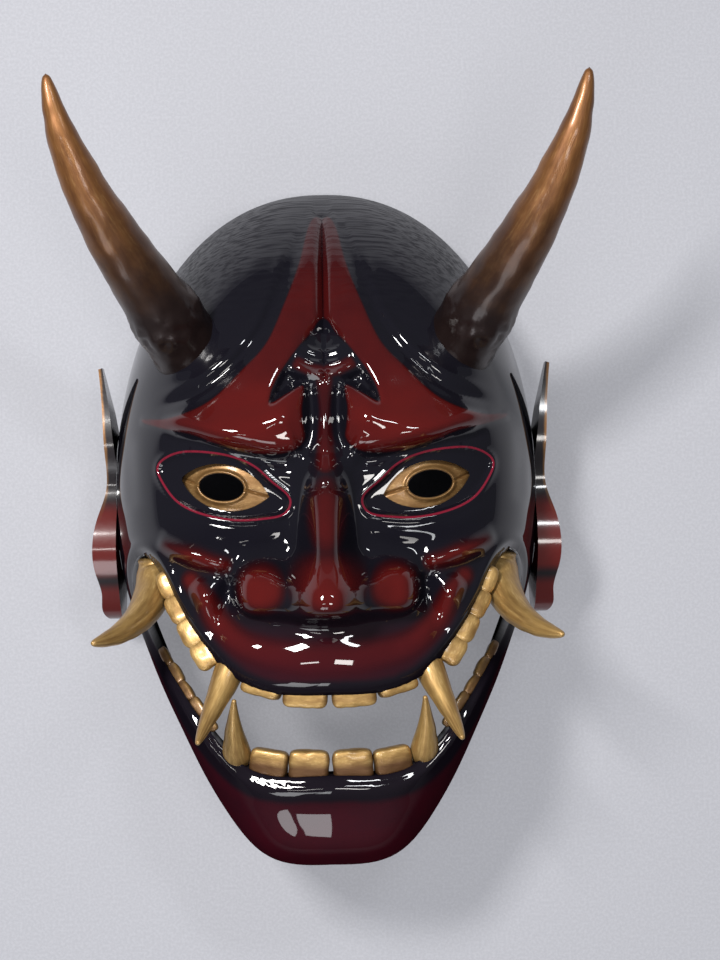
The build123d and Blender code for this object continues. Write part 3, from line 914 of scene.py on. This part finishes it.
# foot on the face, how deep it is set, and the curve's further points from there
fangLooks = {
    "tusk": {
        "foot": (63.0, -20.5), "under": 10.8, "steps": [(-3.4, -13, -4), (2.4, -25.5, 26), (15.5, -26.3, 44)],
        "radius": 8.7, "swell": 0.66, "tuck": 0.36,
    },
    "upper_fang": {
        "foot": (32, -52), "under": 10.0, "steps": [(3, -10, 3), (10, -23, 13), (11.8, -28, 25)],
        "radius": 6.5, "swell": 0.85, "tuck": 0.4,
    },
    "lower_fang": {
        "foot": (32.4, -93.6), "under": 9.0, "steps": [(0.8, 6, 7), (1.4, 16, 13), (0.2, 25.1, 18.7)],
        "radius": 6.8, "swell": 1.05, "tuck": 0.5,
    },
}
fangMesh = {"rounds": 44, "sides": 40, "tipRadius": 0.8}


def bezier(points, t):
    a, b, c, d = (Vector(p) for p in points)
    return a * (1 - t) ** 3 + b * (3 * t * (1 - t) ** 2) + c * (3 * t * t * (1 - t)) + d * t ** 3


def bezierAim(points, t):
    a, b, c, d = (Vector(p) for p in points)
    return ((b - a) * (1 - t) ** 2 + (c - b) * (2 * t * (1 - t)) + (d - c) * t ** 2).normalized()


def sweepTaper(points, radiusAt, rounds, sides, side, dent):
    # rings grown one from the next along a curve, closed at the root and rounded at the tip
    bm = bmesh.new()
    brush = bm.verts.layers.float_vector.new("brush")
    ring = bmesh.ops.create_circle(bm, cap_ends=True, segments=sides, radius=1.0)["verts"]
    edges = bm.edges[:]
    root = bezier(points, 0)
    along, around = brushMarks["sweepAlong"], brushMarks["sweepRound"]
    for k in range(rounds + 1):
        t = 1 - (1 - k / rounds) ** 1.25                # rings closer together towards the tip
        if k:
            edges, ring = growRing(bm, edges, ring)
        aim = bezierAim(points, t)
        across = Vector((0, 0, 1)).cross(aim).normalized()
        up = aim.cross(across)
        middle = bezier(points, t)
        radius = radiusAt(t)
        for j, vert in enumerate(ring):
            turn = 2 * math.pi * j / sides
            out = across * math.cos(turn) + up * math.sin(turn)
            spot = middle + out * radius
            spot = spot + out * dent(spot, t) * min(1.0, radius / 4)
            vert.co = (side * spot.x, spot.y, spot.z)
            vert[brush] = (out.x * around, out.y * around, along * (middle - root).length)
    # round nose
    tip = bezier(points, 1) + bezierAim(points, 1) * radiusAt(1.0) * 0.8
    bmesh.ops.contextual_create(bm, geom=edges)
    cap = bm.faces[:][-1]
    poke = bmesh.ops.poke(bm, faces=[cap])["verts"][0]
    poke.co = (side * tip.x, tip.y, tip.z)
    poke[brush] = (0, 0, along * (tip - root).length)
    bmesh.ops.recalc_face_normals(bm, faces=bm.faces[:])
    return bm


def hornDent(spot, t):
    # long waves, and a wrinkled collar a little above the root
    waves = noise.noise(spot * 0.09) * 0.45 + noise.noise(spot * 0.22) * 0.22
    collar = 1.6 * math.exp(-((t - 0.16) / 0.05) ** 2)
    return waves + collar * (0.5 + 0.9 * noise.noise(spot * 0.30))


def fangDent(spot, _):
    return noise.noise(spot * 0.22) * 0.22


def hornShade(paint):
    # dark brown at the root, clear gold towards the tip
    x, y = paint.axis(0), paint.axis(1)
    along = y + abs(x) * 0.45 + (paint.grain(70, 4, 0.6) - 0.5) * 0.030
    return 1 - paint.step(along, *hornLook["clears"])


def hornRadius(t):
    look = hornLook
    return look["tipRadius"] + (look["radius"] - look["tipRadius"]) * (1 - t) ** look["swell"]


def fangRadius(fang, t):
    # a taper that is tucked in at the root, where the skin covers it
    end = fangMesh["tipRadius"]
    tucked = 1 - fang["tuck"] * math.exp(-(t / 0.16) ** 2)
    return end + (fang["radius"] - end) * (1 - t) ** fang["swell"] * tucked


def shifted(spot, steps):
    return [tuple(place + move for place, move in zip(spot, step)) for step in steps]


hornGilt = gilt("hornGilt", hornLook, hornShade)
# the teeth turn browner towards their gaps, painted shade, and towards their roots
toothGilt = gilt("toothGilt", giltLook, lambda paint: paint.attribute("worn"), 0.38)

for side, name in ((1, "right"), (-1, "left")):
    look = hornLook
    foot = (*look["base"], skin(*look["seat"]) - look["under"])
    tip = look["tip"]
    curve = [foot, *shifted(foot, [look["leaves"]]), *shifted(tip, [look["arrives"]]), tip]
    bm = sweepTaper(curve, hornRadius, look["rounds"], look["sides"], side, hornDent)
    makePiece("horn." + name, bm, ["horn_" + name], [hornGilt])
    for node, fang in fangLooks.items():
        foot = (*fang["foot"], skin(*fang["foot"]) - fang["under"])
        bm = sweepTaper([foot, *shifted(foot, fang["steps"])], lambda t: fangRadius(fang, t),
                        fangMesh["rounds"], fangMesh["sides"], side, fangDent)
        makePiece(node.replace("_f", "F") + "." + name, bm, [node + "_" + name], [toothGilt])
print("horns and fangs swept")


# ---- ears

earLook = {
    "black": (0.010, 0.007, 0.009), "red": (0.115, 0.008, 0.006), "bronze": (0.20, 0.10, 0.04),
    # outer outline from lobe to tip: height, distance from the middle
    "outer": [(-47, 85.4), (-37, 87.2), (-17, 89.4), (3, 85.0), (18, 84.8), (36, 85.8), (50.5, 87.5)],
    # heights in metres where each colour comes in, and where the bowl's goes out
    "bowl": ((-0.031, -0.027), (-0.006, 0.001)),
    "lobe": (-0.036, -0.031),
    "bronzeEdge": (-0.012, 0.016),
}


def earLacquer():
    look = earLook
    paint = Paint("earLacquer")
    out, up = abs(paint.axis(0)), paint.axis(1)
    # a ramp holds the outline, from 80 to 90 mm from the middle
    low, high = look["outer"][0][0], look["outer"][-1][0]
    stops = [((y - low) / (high - low), [(x - 80) / 10] * 3) for y, x in look["outer"]]
    edge = paint.node("ValToRGB", {"stops": stops}, {0: (up * 1000 - low) / (high - low)}) * 0.010 + 0.080
    mottle = paint.grain(120, 3, 0.6)
    rim = 1 - paint.step((edge - out) * 1000 + mottle, 0.9, 1.9)
    bronze = rim * paint.step(up, *look["bronzeEdge"])
    rises, falls = look["bowl"]
    bowl = paint.step(up, *rises) * (1 - paint.step(up, *falls))
    lobe = 1 - paint.step(up, *look["lobe"])
    colour = paint.blend(paint.sum("MAXIMUM", bowl, lobe) * 0.9, look["black"], look["red"])
    colour = paint.blend(bronze, colour, look["bronze"])
    return paint.finish({
        "Base Color": colour,
        "Metallic": bronze * 0.5,
        "Roughness": 0.4,
        "Specular IOR Level": 0.2,
        "Coat Weight": 1.0,
        "Coat Roughness": 0.12,
        "Normal": paint.bump(mottle + paint.grain(420, 3, 0.55) * 0.4, 0.0003, 0.5),
    })


earPaint = earLacquer()
for name in ("ear_right", "ear_left"):
    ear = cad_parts[name]
    ear.data.materials.clear()
    ear.data.materials.append(earPaint)
print("ears lacquered")


# ---- teeth

# corners run from tooth to tooth; shows is how much of each can be seen, root how much can't, drop how far
# the corners lie below the skin, and square how blocky the pillow is
toothRows = {
    "upper_incisor": {
        "corners": [(0.3, -65.8), (16.0, -65.0), (29.6, -61.4)],
        "shows": [5.6, 4.2], "root": 3.0, "drop": 4.4, "thick": 5.2, "gap": 0.4, "square": 5,
    },
    "upper_side_tooth": {
        "corners": [(39.2, -56.2), (43.6, -48.8), (48.4, -41.0), (52.8, -33.2), (56.4, -25.2)],
        "shows": [6.2, 6.4, 6.2, 5.4], "root": 2.4, "drop": 3.4, "thick": 3.8, "gap": -1.4, "square": 3.6,
    },
    "lower_incisor": {
        "corners": [(28.6, -92.9), (15.0, -94.9), (0.3, -95.3)],
        "shows": [6.6, 7.6], "root": 3.0, "drop": 5.6, "thick": 5.6, "gap": 0.6, "square": 5,
    },
    "lower_side_tooth": {
        "corners": [(61.4, -54.4), (57.6, -60.0), (53.4, -65.6), (49.2, -71.0), (45.0, -76.4), (41.0, -81.4)],
        "shows": [2.3, 2.9, 2.6, 3.0, 2.6],
        "root": 1.0, "drop": 5.4, "thick": 3.2, "gap": -0.6, "square": 3.6,
    },
}


def toothDarkening(row, spot):
    # browner in the gaps of the incisors, which is painted shade between the teeth, and browner towards the
    # roots below and on the lower side teeth
    shade = max(0.0, (abs(spot.x) - 0.8) * 2.5) if "incisor" in row else 0.0
    if row == "lower_incisor":
        shade = max(shade, 0.9 * min(1.0, max(0.0, 0.45 - spot.y) * 1.6))
    if row == "lower_side_tooth":
        shade = 0.8 - 0.5 * max(0.0, spot.y)
    return min(1.0, shade)


def buildTooth(row, k, side, placing, size):
    # a pillow: a cut cube drawn towards a rounded block, slightly uneven
    root, square = toothRows[row]["root"], toothRows[row]["square"]
    bm = bmesh.new()
    brush = bm.verts.layers.float_vector.new("brush")
    # painted shade in the gaps between the teeth, and browner roots
    worn = bm.verts.layers.float.new("worn")
    bmesh.ops.create_cube(bm, size=2.0)
    bmesh.ops.subdivide_edges(bm, edges=bm.edges[:], cuts=9, use_grid_fill=True)
    middle, across, into, out = placing
    for vert in bm.verts:
        spot = vert.co.copy()
        spot = spot / sum(abs(c) ** square for c in spot) ** (1 / square)
        vert[worn] = toothDarkening(row, spot)
        spot = Vector((spot.x * size[0] / 2, spot.y * size[1] / 2, spot.z * size[2] / 2))
        spot += spot.normalized() * noise.noise(spot * 0.35 + Vector((9.1 * k, 3.3 * len(row), 0))) * 0.35
        vert[brush] = (brushMarks["toothAcross"] * spot.x + 7 * k, spot.y, spot.z)
        spot = middle + across * spot.x + into * (spot.y + size[1] / 2 - root) + out * spot.z
        vert.co = (side * spot.x, spot.y, spot.z)
    bmesh.ops.recalc_face_normals(bm, faces=bm.faces[:])
    name = "right" if side > 0 else "left"
    first, *rest = row.split("_")
    title = first + "".join(word.capitalize() for word in rest) + str(k + 1)
    makePiece(title + "." + name, bm, [f"{row}_{k + 1}_{name}"], [toothGilt])


for row, look in toothRows.items():
    spots = [Vector((*corner, skin(*corner) - look["drop"])) for corner in look["corners"]]
    for k, (first, last, show) in enumerate(zip(spots, spots[1:], look["shows"])):
        run = last - first
        into = run.cross(Vector((0, 0, 1))).normalized()
        placing = ((first + last) / 2, run.normalized(), into, into.cross(run).normalized())
        for side in (1, -1):
            buildTooth(row, k, side, placing, (run.length - look["gap"], show + look["root"], look["thick"]))
print("teeth set")


# ---- floor

def addFloor():
    bm = bmesh.new()
    bmesh.ops.create_grid(bm, x_segments=1, y_segments=1, size=4.0)
    mesh = bpy.data.meshes.new("tableTop")
    bm.to_mesh(mesh)
    bm.free()
    floor = bpy.data.objects.new("tableTop", mesh)
    bpy.context.scene.collection.objects.link(floor)
    paint = Paint("paleTable")
    speck = paint.grain(900, 2, 0.6)
    speckled = paint.step(speck, 0.35, 0.7)
    low, glow = lighting["floorColour"], lighting["floorGlow"]
    colour = paint.blend(speckled, low, [c * 1.1 for c in low])
    bright = paint.blend(speckled, glow, [c * 1.08 for c in glow])
    # painted shade: a dark patch on the table under the brow, where the glow is taken away too, seen through
    # the pupils
    shade = lighting["paintedBrowShade"]
    x, y = paint.axis(0) / shade["half"][0], (paint.axis(1) - shade["middle"]) / shade["half"][1]
    lit = paint.step(x * x + y * y, *shade["edge"])
    colour = paint.blend(lit, shade["colour"], colour)
    cloth = paint.node("BsdfDiffuse", {}, {"Color": colour, "Normal": paint.bump(speck, 0.0002, 0.4)})
    light = paint.node("Emission", {}, {"Color": bright, "Strength": 1.0})
    # the glow is only for what looks straight at the table or sees it in a gloss
    rays = ("Is Camera Ray", "Is Glossy Ray", "Is Transmission Ray")
    seen = [paint.node("LightPath", output=name) for name in rays]
    share = paint.sum("MAXIMUM", paint.sum("MAXIMUM", seen[0], seen[1]), seen[2])
    share = share * lighting["floorGlowShare"] * lit
    mesh.materials.append(paint.close(paint.node("MixShader", {}, {0: share, 1: cloth, 2: light})))


addFloor()
